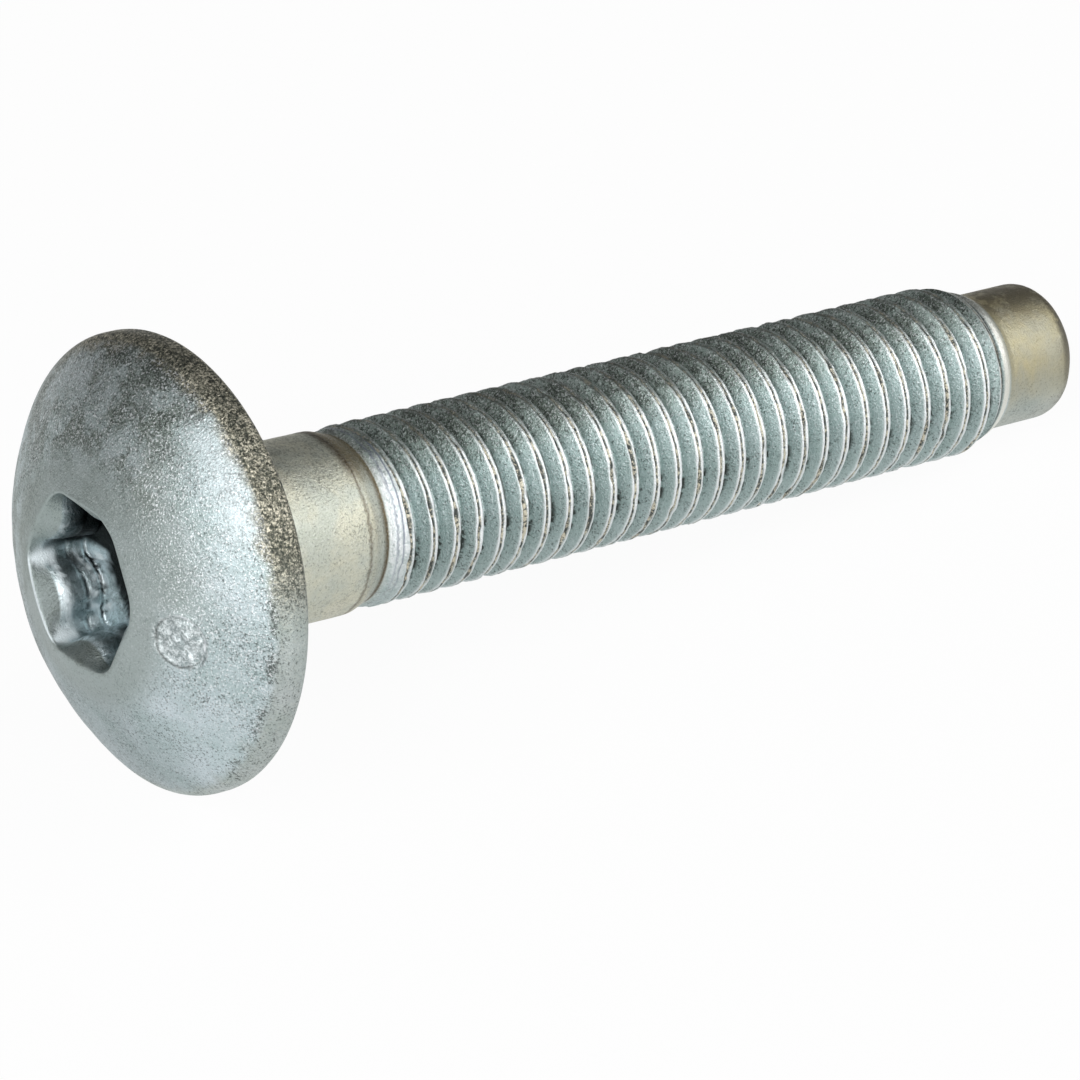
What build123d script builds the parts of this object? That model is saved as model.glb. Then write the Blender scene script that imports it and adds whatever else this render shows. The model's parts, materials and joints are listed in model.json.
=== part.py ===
"""Star drive bolt, M10 x 60, cold headed from one piece of steel.

A low domed head with a six-lobe recess, a plain shoulder, a threaded length and a plain dog point. The
bolt is made about its own Z axis, with the bearing face at Z = 0, the head below it and the point above.
It is then laid on the edge of its head and the end of its thread, as it comes to rest on a flat surface.
The threaded length is a plain cylinder over the crests. Sizes are in millimetres, angles in degrees.
"""

import os
from math import asin, atan2, cos, degrees, hypot, radians, sin, sqrt, tan

from build123d import *

# Head
head_diameter = 24.2
head_height = 6.4  # bearing face to the crown of the full dome
edge_height = 1.4  # side of the head, below the dome
edge_round = 0.5  # where the side meets the bearing face
dome_round = 0.9  # where the side meets the dome
neck_bevel = 0.4  # in the corner between the bearing face and the shoulder

# Shoulder and the wire that the thread is rolled on
shoulder_diameter = 9.8
shoulder_length = 9.4
wire_diameter = 9.1
wire_taper = 1.0  # length of the cone from the shoulder down to the wire
wire_length = 0.4  # of bare wire between that cone and the thread

# Thread
thread_diameter = 9.8  # over the crests
thread_rise = 1.3  # length over which the first crests reach their full height
thread_end = 53.0  # bearing face to the last full crest

# Dog point
bolt_length = 60.0  # bearing face to the end
dog_diameter = 7.85
dog_length = 4.4
dog_round = 1.0

# Six-lobe recess, size 50
recess_points = 8.95  # across opposite points
recess_flanks = 6.45  # across opposite flanks
point_round = 0.775
mouth_flanks = 8.6  # across opposite sides of the rounded hexagon where the recess opens through the dome
mouth_round = 1.4
lead_in_depth = 1.15  # mouth to where the full lobes start
recess_depth = 3.4  # mouth to floor
floor_slope = 8.0  # of the shallow cone in the floor
recess_turn = 13.3  # angle of one point about the axis

# Plain round stamp on the dome
stamp_diameter = 2.8
stamp_depth = 0.14
stamp_reach = 7.4  # axis to the middle of the stamp
stamp_turn = 19.3  # its angle about the axis

# Lying at rest
rest_turn = -71.7  # angle about the axis of the line that then points up

head_radius = head_diameter / 2
shoulder_radius = shoulder_diameter / 2
wire_radius = wire_diameter / 2
crest_radius = thread_diameter / 2
dog_radius = dog_diameter / 2
wire_start = shoulder_length + wire_taper
thread_start = wire_start + wire_length
dog_start = bolt_length - dog_length

# The dome is part of a sphere whose middle lies on the axis
dome_rise = head_height - edge_height
dome_radius = (head_radius**2 + dome_rise**2) / (2 * dome_rise)
dome_centre = dome_radius - head_height


def dome_z(reach):
    """Z of the dome's surface at a distance from the axis."""
    return dome_centre - sqrt(dome_radius**2 - reach**2)


mouth_z = dome_z(mouth_flanks / 2)
lobes_z = mouth_z + lead_in_depth
floor_z = mouth_z + recess_depth


def star_plane(z):
    """Plane across the axis, turned so that its X axis runs through a point of the recess."""
    return Plane.XY.offset(z).rotated((0, 0, recess_turn))


def star_outline(across_points, across_flanks, round_radius):
    """Add a closed six-lobe outline of tangent arcs to the line being built.

    Each point is an arc about a centre on its own axis. Each flank is an arc about a centre outside the
    outline, halfway between two points, with the one radius at which it is tangent to both of them.
    """
    half_step = 30
    flank = across_flanks / 2
    point_centre = across_points / 2 - round_radius
    reach = point_centre * cos(radians(half_step))
    excess = round_radius**2 - point_centre**2 - flank**2 + 2 * reach * flank
    flank_radius = excess / (2 * (flank - reach - round_radius))
    flank_centre = flank + flank_radius
    aside = flank_centre * sin(radians(half_step))
    ahead = flank_centre * cos(radians(half_step)) - point_centre
    lean = degrees(atan2(aside, ahead))
    for turn in range(0, 360, 2 * half_step):
        point_at = Vector(point_centre, 0).rotate(Axis.Z, turn)
        flank_at = Vector(flank_centre, 0).rotate(Axis.Z, turn + half_step)
        CenterArc(point_at, round_radius, turn - lean, 2 * lean)
        CenterArc(flank_at, flank_radius, turn + 180 + lean, 2 * (half_step - lean))


with BuildPart() as bolt:
    # Half the section, with its corners rounded, turned about the axis
    rounds = (
        ((head_radius, -edge_height), dome_round),
        ((head_radius, 0), edge_round),
        ((dog_radius, bolt_length), dog_round),
    )
    with BuildSketch(Plane.XZ) as half_section:
        with BuildLine():
            TangentArc((0, -head_height), (head_radius, -edge_height), tangent=(1, 0))
            Polyline(
                (head_radius, -edge_height),
                (head_radius, 0),
                (shoulder_radius, 0),
                (shoulder_radius, shoulder_length),
                (wire_radius, wire_start),
                (wire_radius, thread_start),
                (crest_radius, thread_start + thread_rise),
                (crest_radius, thread_end),
                (dog_radius, dog_start),
                (dog_radius, bolt_length),
                (0, bolt_length),
                (0, -head_height),
            )
        make_face()
        for corner, radius in rounds:
            fillet(half_section.vertices().sort_by_distance(corner)[0], radius)
        chamfer(half_section.vertices().sort_by_distance((shoulder_radius, 0))[0], neck_bevel)
    revolve(axis=Axis.Z)

    # Recess: a lead-in from the mouth to the lobes, the crown above it, the lobes and the floor below
    with BuildSketch(star_plane(lobes_z)) as lobes:
        with BuildLine():
            star_outline(recess_points, recess_flanks, point_round)
        make_face()
    with BuildSketch(star_plane(mouth_z)) as mouth:
        RegularPolygon(mouth_flanks / 2, 6, major_radius=False)
        fillet(mouth.vertices(), mouth_round)
    loft(mode=Mode.SUBTRACT)
    extrude(mouth.sketch, amount=-(head_height + mouth_z), mode=Mode.SUBTRACT)
    extrude(lobes.sketch, amount=floor_z - lobes_z, mode=Mode.SUBTRACT)
    floor_radius = recess_flanks / 2
    floor_drop = floor_radius * tan(radians(floor_slope))
    with Locations((0, 0, floor_z + floor_drop / 2)):
        Cone(floor_radius, 0, floor_drop, mode=Mode.SUBTRACT)

    # Stamp: a shallow disc sunk square to the dome
    stamp_at = Vector(stamp_reach, 0, dome_z(stamp_reach)).rotate(Axis.Z, stamp_turn)
    with BuildSketch(Plane(origin=stamp_at, z_dir=stamp_at - Vector(0, 0, dome_centre))):
        Circle(stamp_diameter / 2)
    extrude(amount=-stamp_depth, mode=Mode.SUBTRACT)

# At rest it touches the surface with the round of the head's edge and the end of the thread
contact_drop = head_radius - edge_round - crest_radius
contact_run = thread_end + edge_round
tilt = atan2(contact_drop, contact_run) + asin(edge_round / hypot(contact_drop, contact_run))
axis_at_rest = Vector(cos(tilt), 0, -sin(tilt))
up_at_rest = Vector(sin(tilt), 0, cos(tilt))
x_at_rest = up_at_rest.rotate(Axis((0, 0, 0), axis_at_rest), -rest_turn)
laid = bolt.part.moved(Plane(origin=(0, 0, 0), x_dir=x_at_rest, z_dir=axis_at_rest).location)

# The origin is on the surface, below the middle of the bolt
bounds = laid.bounding_box()
with BuildPart(Location((-bounds.center().X, -bounds.center().Y, -bounds.min.Z))) as star_drive_bolt:
    add(laid)

star_drive_bolt.part.label = "star_drive_bolt"
os.makedirs("parts", exist_ok=True)
export_step(star_drive_bolt.part, "parts/star_drive_bolt.step")
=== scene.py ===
"""Looks of the star drive bolt: one zinc plated surface, laid over the frame's solid.

A place on the bolt is given by three numbers: its run along the axis from the bearing face, positive
towards the point; its reach from the axis; and its turn about the axis, from the upward side towards the
front. Where a function asks how much of a mark or a tone is at a place, the answer is a share from 0 to 1.
Runs and reaches are in millimetres. The mesh is in metres, like the frame.
"""

import json

import bpy
import numpy as np
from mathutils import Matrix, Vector


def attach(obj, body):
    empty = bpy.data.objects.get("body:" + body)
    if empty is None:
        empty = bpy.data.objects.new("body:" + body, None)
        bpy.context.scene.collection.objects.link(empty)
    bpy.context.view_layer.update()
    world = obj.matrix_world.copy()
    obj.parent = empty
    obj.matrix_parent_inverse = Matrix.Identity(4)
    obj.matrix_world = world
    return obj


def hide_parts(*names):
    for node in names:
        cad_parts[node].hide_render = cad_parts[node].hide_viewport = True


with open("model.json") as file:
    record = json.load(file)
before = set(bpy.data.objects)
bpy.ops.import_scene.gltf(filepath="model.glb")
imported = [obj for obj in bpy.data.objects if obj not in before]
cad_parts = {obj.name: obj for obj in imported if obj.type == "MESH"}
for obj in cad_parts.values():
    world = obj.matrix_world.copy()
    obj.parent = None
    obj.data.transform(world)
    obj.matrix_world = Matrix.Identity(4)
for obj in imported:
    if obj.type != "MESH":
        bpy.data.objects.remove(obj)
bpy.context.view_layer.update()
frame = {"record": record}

MM = 0.001
PIECE = "star_drive_bolt"

# Head
HEAD_RADIUS = 12.1
HEAD_HEIGHT = 6.4
EDGE_HEIGHT = 1.4
EDGE_ROUND = 0.5
DOME_ROUND = 0.9
NECK_BEVEL = 0.4

# Shoulder, wire, thread and dog point
SHOULDER_RADIUS = 4.9
SHOULDER_LENGTH = 9.4
WIRE_RADIUS = 4.55
WIRE_START = 10.4
CREST_RADIUS = 4.9
ROOT_RADIUS = 4.08
PITCH = 1.5
ROOT_FLAT = 0.1  # half the width of the flat root
CREST_FLAT = 0.25  # half the width of the crest
BEVEL_START = 52.5  # the crests come down from here to the dog point
THREAD_STOP = 54.0  # a raised ring stands behind it
DOG_START = 55.15
DOG_RADIUS = 3.925
DOG_ROUND = 1.0
BOLT_LENGTH = 60.0

# Six-lobe recess; its two outlines are given across the points, across the flanks, and by a point's round
LOBES = (8.95, 6.45, 0.775)
MOUTH = (9.36, 8.68, 1.9)  # where the recess opens through the dome
RECESS_TURN = np.radians(25.0)
LEAD_IN_DEPTH = 1.15
RECESS_DEPTH = 3.4
FLOOR_DROP = 0.45
FAR_START = 205.0  # turns of the two ends of the recess's far side, in degrees
FAR_END = 261.0

# Plain round stamp on the dome
STAMP_REACH = 7.4
STAMP_TURN = np.radians(91.0)
STAMP_RADIUS = 1.4
STAMP_DEPTH = 0.14
STAMP_BAND = 1.6  # to either side of its middle, rows lie close together

# Mesh density
HEAD_COLUMNS_PER_ARC = 20
STAMP_COLUMNS = 26
SHANK_COLUMNS = 120
STRIP_START = 10.5  # run of the helical strip's first row, at its first column
LEAD_ROWS = 10  # between the wire's last level ring and the strip
STRIP_TURN = np.radians(240.0)  # its first column, on the side turned away
HIDDEN_TURN = np.radians(236.7)  # the side turned straight away from the camera
GROOVE_RUN = 10.9  # the middle of a groove passes this run ...
GROOVE_TURN = np.radians(71.7)  # ... at this turn

# Zone values: how much of each finish, and of painted highlight and painted shade, there is at a point of
# the surface
ZONES = (
    "straw", "stain", "dusk", "over", "lively", "calm", "mottle", "grime", "edge", "collar",
    "crest", "seam", "rut", "flank", "root", "recess", "worn", "shade", "stamp",
)

# Tones that several places share, as shares of red, green and blue
DARK = (0.05, 0.06, 0.052)
BLACK = (0.04, 0.04, 0.035)

# Floor, lamps and room
FLOOR_WIDTH = 6.0  # metres
SEEN_WHITE = 0.95  # share of the floor that is white card where it is seen directly
MIRRORED_WHITE = 0.62  # the same where the bolt mirrors it
LAMP_DISTANCE = 0.6  # metres
ROOM_GREY = 0.2  # strength of the room where it is not seen directly

# Camera
LENS = 183.33
SENSOR_WIDTH = 36.0
VIEW_HEADING = np.radians(37.8)  # from +Y towards +X
VIEW_DROP = np.radians(31.25)  # below level
VIEW_DISTANCE = 297.6  # from the aim
AIM_RUN = 24.59
AIM_SINK = 4.4  # below the bolt's axis

dome_rise = HEAD_HEIGHT - EDGE_HEIGHT
dome_radius = (HEAD_RADIUS**2 + dome_rise**2) / (2 * dome_rise)
dome_centre = dome_radius - HEAD_HEIGHT

# The bolt's three directions and the middle of its bearing face, from the middle of the shoulder's mount
mounts = {mount["name"]: mount for mount in frame["record"]["mounts"]}
shoulder = mounts["shoulder"]
along = np.array(shoulder["axis"])
along /= np.linalg.norm(along)
up = np.array([-along[2], 0.0, along[0]])
front = np.cross(along, up)
shoulder_middle = NECK_BEVEL + shoulder["dims"]["length_mm"] / 2
bearing = np.array(shoulder["pos_m"]) - along * shoulder_middle * MM

shank_columns = np.arange(SHANK_COLUMNS)
shank_turns = STRIP_TURN + 2 * np.pi * shank_columns / SHANK_COLUMNS


# ---------------------------------------------------------------- shapes


def dome_run(reach):
    """Run of the dome at a reach: the near side of a sphere whose middle is on the axis."""
    return dome_centre - np.sqrt(dome_radius**2 - reach**2)


def place(run, reach, turn):
    """Points in the frame: the bearing face's middle, plus the run along the axis, plus the reach in the
    direction of the turn."""
    run, reach, turn = np.broadcast_arrays(run, reach, turn)
    aside = np.cos(turn)[..., None] * up + np.sin(turn)[..., None] * front
    return bearing + (run[..., None] * along + reach[..., None] * aside) * MM


def ripple(points, size, seed, waves=28):
    """Smooth unevenness, about -2 to 2: a sum of sine waves in random directions, each about `size`
    millimetres long."""
    draw = np.random.default_rng(seed)
    heading = draw.normal(size=(waves, 3))
    heading /= np.linalg.norm(heading, axis=1, keepdims=True)
    length = size * MM * draw.uniform(0.7, 1.5, waves)
    start = draw.uniform(0, 2 * np.pi, waves)
    phase = points @ (heading * (2 * np.pi / length)[:, None]).T + start
    return np.sin(phase).sum(-1) * np.sqrt(2 / waves)


def smooth(value, low, high):
    """0 below low, 1 above high, and the cubic ease 3t^2 - 2t^3 between."""
    t = np.clip((value - low) / (high - low), 0, 1)
    return t * t * (3 - 2 * t)


def within(value, rise, fall):
    """1 between two places, eased in over the first pair of values and out over the second."""
    return smooth(value, *rise) * (1 - smooth(value, *fall))


def hill(value, middle, width):
    """1 at the middle, falling away to both sides as exp(-(distance / width)^2)."""
    return np.exp(-(((value - middle) / width) ** 2))


def star(sizes, counts):
    """Six-lobe outline of tangent arcs as complex numbers, one for each column.

    A point is an arc about a centre on its own line. A flank is an arc about a centre on the line halfway
    between two points, of the one radius at which it is tangent to both: hollow where that centre lies
    outside the outline, and full where it lies past the axis.
    """
    across_points, across_flanks, point_round = sizes
    step = np.pi / 6
    flank = across_flanks / 2
    centre = across_points / 2 - point_round
    reach = centre * np.cos(step)
    excess = point_round**2 - centre**2 - flank**2 + 2 * reach * flank
    flank_radius = excess / (2 * (flank - reach - point_round))
    flank_centre = flank + flank_radius
    hollow = np.sign(flank_radius)
    aside = hollow * flank_centre * np.sin(step)
    ahead = hollow * (flank_centre * np.cos(step) - centre)
    lean = np.arctan2(aside, ahead)
    arcs = []
    for k in range(6):
        turn = 2 * step * k
        angles = turn - lean + 2 * lean * np.arange(counts[2 * k]) / counts[2 * k]
        arcs.append(centre * np.exp(1j * turn) + point_round * np.exp(1j * angles))
        sweep = 2 * (step - lean) * np.arange(counts[2 * k + 1]) / counts[2 * k + 1]
        angles = turn + np.pi + lean + sweep
        arcs.append(flank_centre * np.exp(1j * (turn + step)) + flank_radius * np.exp(1j * angles))
    return np.concatenate(arcs) * np.exp(1j * RECESS_TURN)


def corner_arc(before, corner, after, radius, steps):
    """Points of a round of one radius in the corner of a profile, from its first tangent point to its last.

    The tangent points lie radius / tan(half the corner's angle) from the corner, and the arc's middle lies
    on the line that halves the corner.
    """
    before, corner, after = (np.array(p, float) for p in (before, corner, after))
    one = (before - corner) / np.linalg.norm(before - corner)
    other = (after - corner) / np.linalg.norm(after - corner)
    half = np.arccos(np.clip(one @ other, -1, 1)) / 2
    middle = corner + (one + other) / np.linalg.norm(one + other) * radius / np.sin(half)
    start = corner + one * radius / np.tan(half) - middle
    end = corner + other * radius / np.tan(half) - middle
    sweep = np.pi - 2 * half
    t = np.linspace(0, 1, steps)[:, None]
    return middle + (np.sin((1 - t) * sweep) * start + np.sin(t * sweep) * end) / np.sin(sweep)


class Surface:
    """A closed surface that grows ring by ring from the recess to the point."""

    def __init__(self):
        """Starts with no points, no zone values and no faces."""
        self.points = []
        self.zones = {name: [] for name in ZONES}
        self.faces = []
        self.count = 0

    def add(self, points, **zones):
        """Keeps an array of points with its zone values, and returns the array of their numbers."""
        shape = points.shape[:-1]
        numbers = self.count + np.arange(np.prod(shape, dtype=int)).reshape(shape)
        self.points.append(points.reshape(-1, 3))
        for name in ZONES:
            self.zones[name].append(np.broadcast_to(zones.get(name, 0.0), shape).ravel())
        self.count += numbers.size
        return numbers

    def sheet(self, numbers):
        """Faces between the rows and the columns of a grid, open at its sides."""
        quads = np.stack([numbers[:-1, :-1], numbers[:-1, 1:], numbers[1:, 1:], numbers[1:, :-1]], -1)
        self.faces.extend(quads.reshape(-1, 4).tolist())

    def tube(self, *rings):
        """Faces between each ring and the next, closed round the turn."""
        numbers = np.vstack(rings)
        self.sheet(np.concatenate([numbers, numbers[:, :1]], 1))

    def triangles(self, first, second, third):
        """Triangles from three arrays of point numbers; a single number serves them all."""
        self.faces.extend(np.stack(np.broadcast_arrays(first, second, third), -1).tolist())

    def step(self, *parts):
        """One face with many corners, given as arrays of point numbers one behind the other."""
        self.faces.append(np.hstack(parts).tolist())

    def bridge(self, first, first_turns, second, second_turns):
        """Triangles between two rings of different counts: the turns of both are put in order, and each step
        from one turn to the next makes a triangle with the last point passed on the other ring."""
        turns = np.concatenate([first_turns[1:], [2 * np.pi], second_turns[1:], [2 * np.pi]])
        on_first = np.arange(turns.size) < first_turns.size
        on_first = on_first[np.argsort(turns, kind="stable")]
        i = np.cumsum(on_first) - on_first
        j = np.cumsum(~on_first) - ~on_first
        ahead = np.where(on_first, first[(i + 1) % first.size], second[(j + 1) % second.size])
        self.triangles(first[i % first.size], ahead, second[j % second.size])


# ---------------------------------------------------------------- head


def head_columns():
    """How many columns each arc of the star takes; the point under the stamp takes more."""
    counts = np.full(12, HEAD_COLUMNS_PER_ARC)
    nearest = int(round((STAMP_TURN - RECESS_TURN) / (np.pi / 3)))
    counts[2 * nearest] += STAMP_COLUMNS
    return counts


def bend(before, corner, after, reach, steps):
    """Rounds a corner of every column at once: the curve (1-t)^2 a + 2t(1-t) corner + t^2 b, from a point at
    `reach` before the corner to one at `reach` after it."""
    one = before - corner
    other = after - corner
    a = corner + one / np.linalg.norm(one, axis=-1, keepdims=True) * reach
    b = corner + other / np.linalg.norm(other, axis=-1, keepdims=True) * reach
    t = np.linspace(0, 1, steps)[:, None, None]
    return (1 - t) ** 2 * a + 2 * t * (1 - t) * corner + t**2 * b


def between(a, b, steps):
    """Rows evenly spaced from one row to another, without either."""
    t = (np.arange(steps) + 1)[:, None, None] / (steps + 1)
    return a + (b - a) * t


def star_corner(outline, run):
    """One corner of the recess as an array of (along, up, front) in millimetres."""
    return np.stack([np.broadcast_to(run, outline.shape), outline.real, outline.imag], -1)


def to_frame(local):
    """Points in the frame from (along, up, front) in millimetres."""
    return bearing + (local @ np.stack([along, up, front])) * MM


def corners(turn, width):
    """The two ends of the recess's far side, where the brow runs out to the mouth and a highlight is
    painted: a hill in the turn about each of them."""
    at = np.degrees(turn) % 360
    return hill(at, FAR_START, width) + hill(at, FAR_END, width)


def recess_tone(local, lobes_run, floor_run):
    """How much painted shade, and how much painted highlight, lies on the inside of the recess.

    Painted shade makes the middle of the floor and the walls of the upper lobe black, and the fold and a
    crack along the foot of the far wall dark; painted highlights brighten the brow and the far wall's foot.
    Each mark is a hill or an eased step in the run, the reach or the turn, made ragged by a ripple, and the
    strongest mark shows.
    """
    run, x, y = np.moveaxis(local, -1, 0)
    reach = np.hypot(x, y)
    turn = np.arctan2(y, x) % (2 * np.pi)
    at = np.degrees(turn)
    ragged = ripple(local * MM, 0.8, 51)
    fine = ripple(local * MM, 0.35, 52)

    # painted shade: black in the hole and on the upper lobe's walls, dark in the fold and the crack
    across = reach * np.sin(turn - HIDDEN_TURN)
    away = reach * np.cos(turn - HIDDEN_TURN)
    hole = 1 - smooth(np.hypot(away, 0.55 * across) - 0.12 * across + 0.05 * ragged, 2.1, 2.5)
    hole = hole * (0.3 + 0.7 * smooth(run, lobes_run + 0.9, lobes_run + 1.8))
    upper = smooth(at, FAR_END + 2, FAR_END + 10) * smooth(run, lobes_run - 0.5, lobes_run)
    upper = upper * (0.55 + 0.45 * smooth(run, lobes_run - 0.1, lobes_run + 1.2))
    fold = hill(run - 0.06 * ragged, lobes_run + 1.2, 0.14) * smooth(ragged, -1.2, 0.6)
    crack = hill(run - 0.05 * fine, floor_run - 0.1, 0.085) * smooth(reach, 2.85, 2.95)
    crack = crack * smooth(ragged, -1.6, -0.8)
    far = within(at, (FAR_START - 2, FAR_START + 7), (FAR_END - 3, FAR_END + 3))
    shade = np.maximum.reduce([hole, upper, 0.85 * fold * far, crack * far])

    # painted highlights on the brow, at the far wall's foot and at the far side's two ends
    brow = hill(run, lobes_run + 0.1, 0.36)
    low = smooth(run, lobes_run + 1.3, lobes_run + 1.6) * smooth(reach, 2.6, 3.0)
    worn = far * (brow + 0.9 * low * smooth(ragged, -1.0, 0.8)) * (0.8 + 0.2 * fine)
    worn = np.maximum(worn, corners(turn, 7.5) * (1 - smooth(run, lobes_run + 0.2, lobes_run + 0.7)))
    return np.clip(shade, 0, 1), np.clip(worn, 0, 1)


def shelf_tone(turn, land_rows, lip_rows):
    """Zone values of the land between the lobes and the mouth, and of the lip, row by row.

    They are soiled at one side and darkened by painted shade on the far and the lower side, and the lip's
    edge carries a painted highlight on the far side, as the land does at its two ends. Each is an eased step
    or a hill in the turn.
    """
    at = np.degrees(turn) % 360
    soiled = 0.15 + 0.4 * smooth(np.cos(turn - np.radians(175)), 0.5, 0.9)
    far_land = within(at, (FAR_START - 5, FAR_START + 3), (FAR_END - 3, FAR_END + 5))
    low_land = within(at, (146, 152), (192, 198))
    inward = np.concatenate([np.ones(land_rows), np.linspace(0.6, 0, lip_rows)])[:, None]
    edge_line = np.concatenate([np.zeros(land_rows), [0.0, 0.7, 1.0, 0.4, 0.0]])[:, None]
    spread = np.concatenate([np.linspace(9.0, 4.0, land_rows), np.full(lip_rows, 4.0)])[:, None]
    ends = corners(turn, spread)
    # painted highlight at the land's two ends and along the lip's far edge, and painted shade on the far and
    # lower land
    highlighted = np.maximum(ends * inward, far_land * edge_line)
    dim = np.clip((0.45 * far_land + 0.25 * low_land) * inward * (1 - ends), 0, 1)
    return {"calm": 1.0, "grime": soiled, "mottle": soiled, "shade": dim, "worn": highlighted}


def top_edge(turn):
    """How near a turn is to the top of the head's edge, a little towards the front."""
    return smooth(np.cos(turn - 0.26), 0.35, 0.75)


def dome_tone(points, reach, turn, from_stamp):
    """Zone values of the dome, row by row.

    It is mottled above and to the left, grimy at the top of its edge and beside the stamp, darkened by
    painted shade below and before the mouth, calm round the mouth and out to the side that faces the camera,
    and carries a soft painted highlight near the edge there. Each is an eased step or a hill in the height,
    the reach or the turn.
    """
    at = np.degrees(turn) % 360
    height = reach / HEAD_RADIUS * np.cos(turn)
    fore = reach / HEAD_RADIUS * np.sin(turn)
    facing = np.cos(turn - np.radians(52))
    round_mouth = 1 - smooth(reach, 5.6, 7.8)
    mottle = smooth(height, -0.1, 0.6) * (1 - 0.8 * smooth(fore, 0.15, 0.5)) * (1 - 0.8 * round_mouth)
    mottle = np.maximum(mottle, 0.6 * smooth(-fore, 0.0, 0.7))
    lively = (0.25 + 0.5 * smooth(height + 0.4 * fore, -0.3, 0.3)) * (1 - 0.7 * round_mouth)
    calm = np.maximum(round_mouth, (1 - smooth(reach, 7.2, 10.2)) * smooth(facing, 0.75, 0.95))

    upper = top_edge(turn)
    grime = 0.2 + 0.32 * mottle - 0.1 * smooth(-height, 0.2, 0.7)
    grime += 0.4 * upper * smooth(reach, HEAD_RADIUS - 1.5, HEAD_RADIUS - 0.8)
    beside = within(at, (68, 78), (118, 135))
    grime += beside * hill(reach + 0.1 * ripple(points, 2.5, 7), HEAD_RADIUS - 0.45, 0.25)
    outer = smooth(reach + 0.14 * ripple(points, 1.2, 6), HEAD_RADIUS - 0.8, HEAD_RADIUS - 0.4)
    # painted shade below and before the mouth, and a little on the side that faces the camera
    dusk = smooth(np.cos(turn - 3.3), 0.45, 0.95) * smooth(reach, 4.5, 8.0)
    dusk = np.maximum(dusk, 0.35 * hill(reach, 7.0, 1.4) * smooth(facing, 0.9, 0.98))
    # painted highlight near the edge at the upper front
    gloss = hill(reach, HEAD_RADIUS - 1.2, 0.7) * smooth(np.cos(turn - np.radians(40)), 0.92, 0.99)
    return {
        "calm": calm,
        "mottle": mottle,
        "grime": grime,
        "stamp": 1 - smooth(from_stamp, STAMP_RADIUS - 0.02, STAMP_RADIUS + 0.1),
        "edge": outer * (0.25 + 0.75 * upper),
        "dusk": dusk,
        "lively": lively,
        "worn": 0.35 * gloss,
    }


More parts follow.
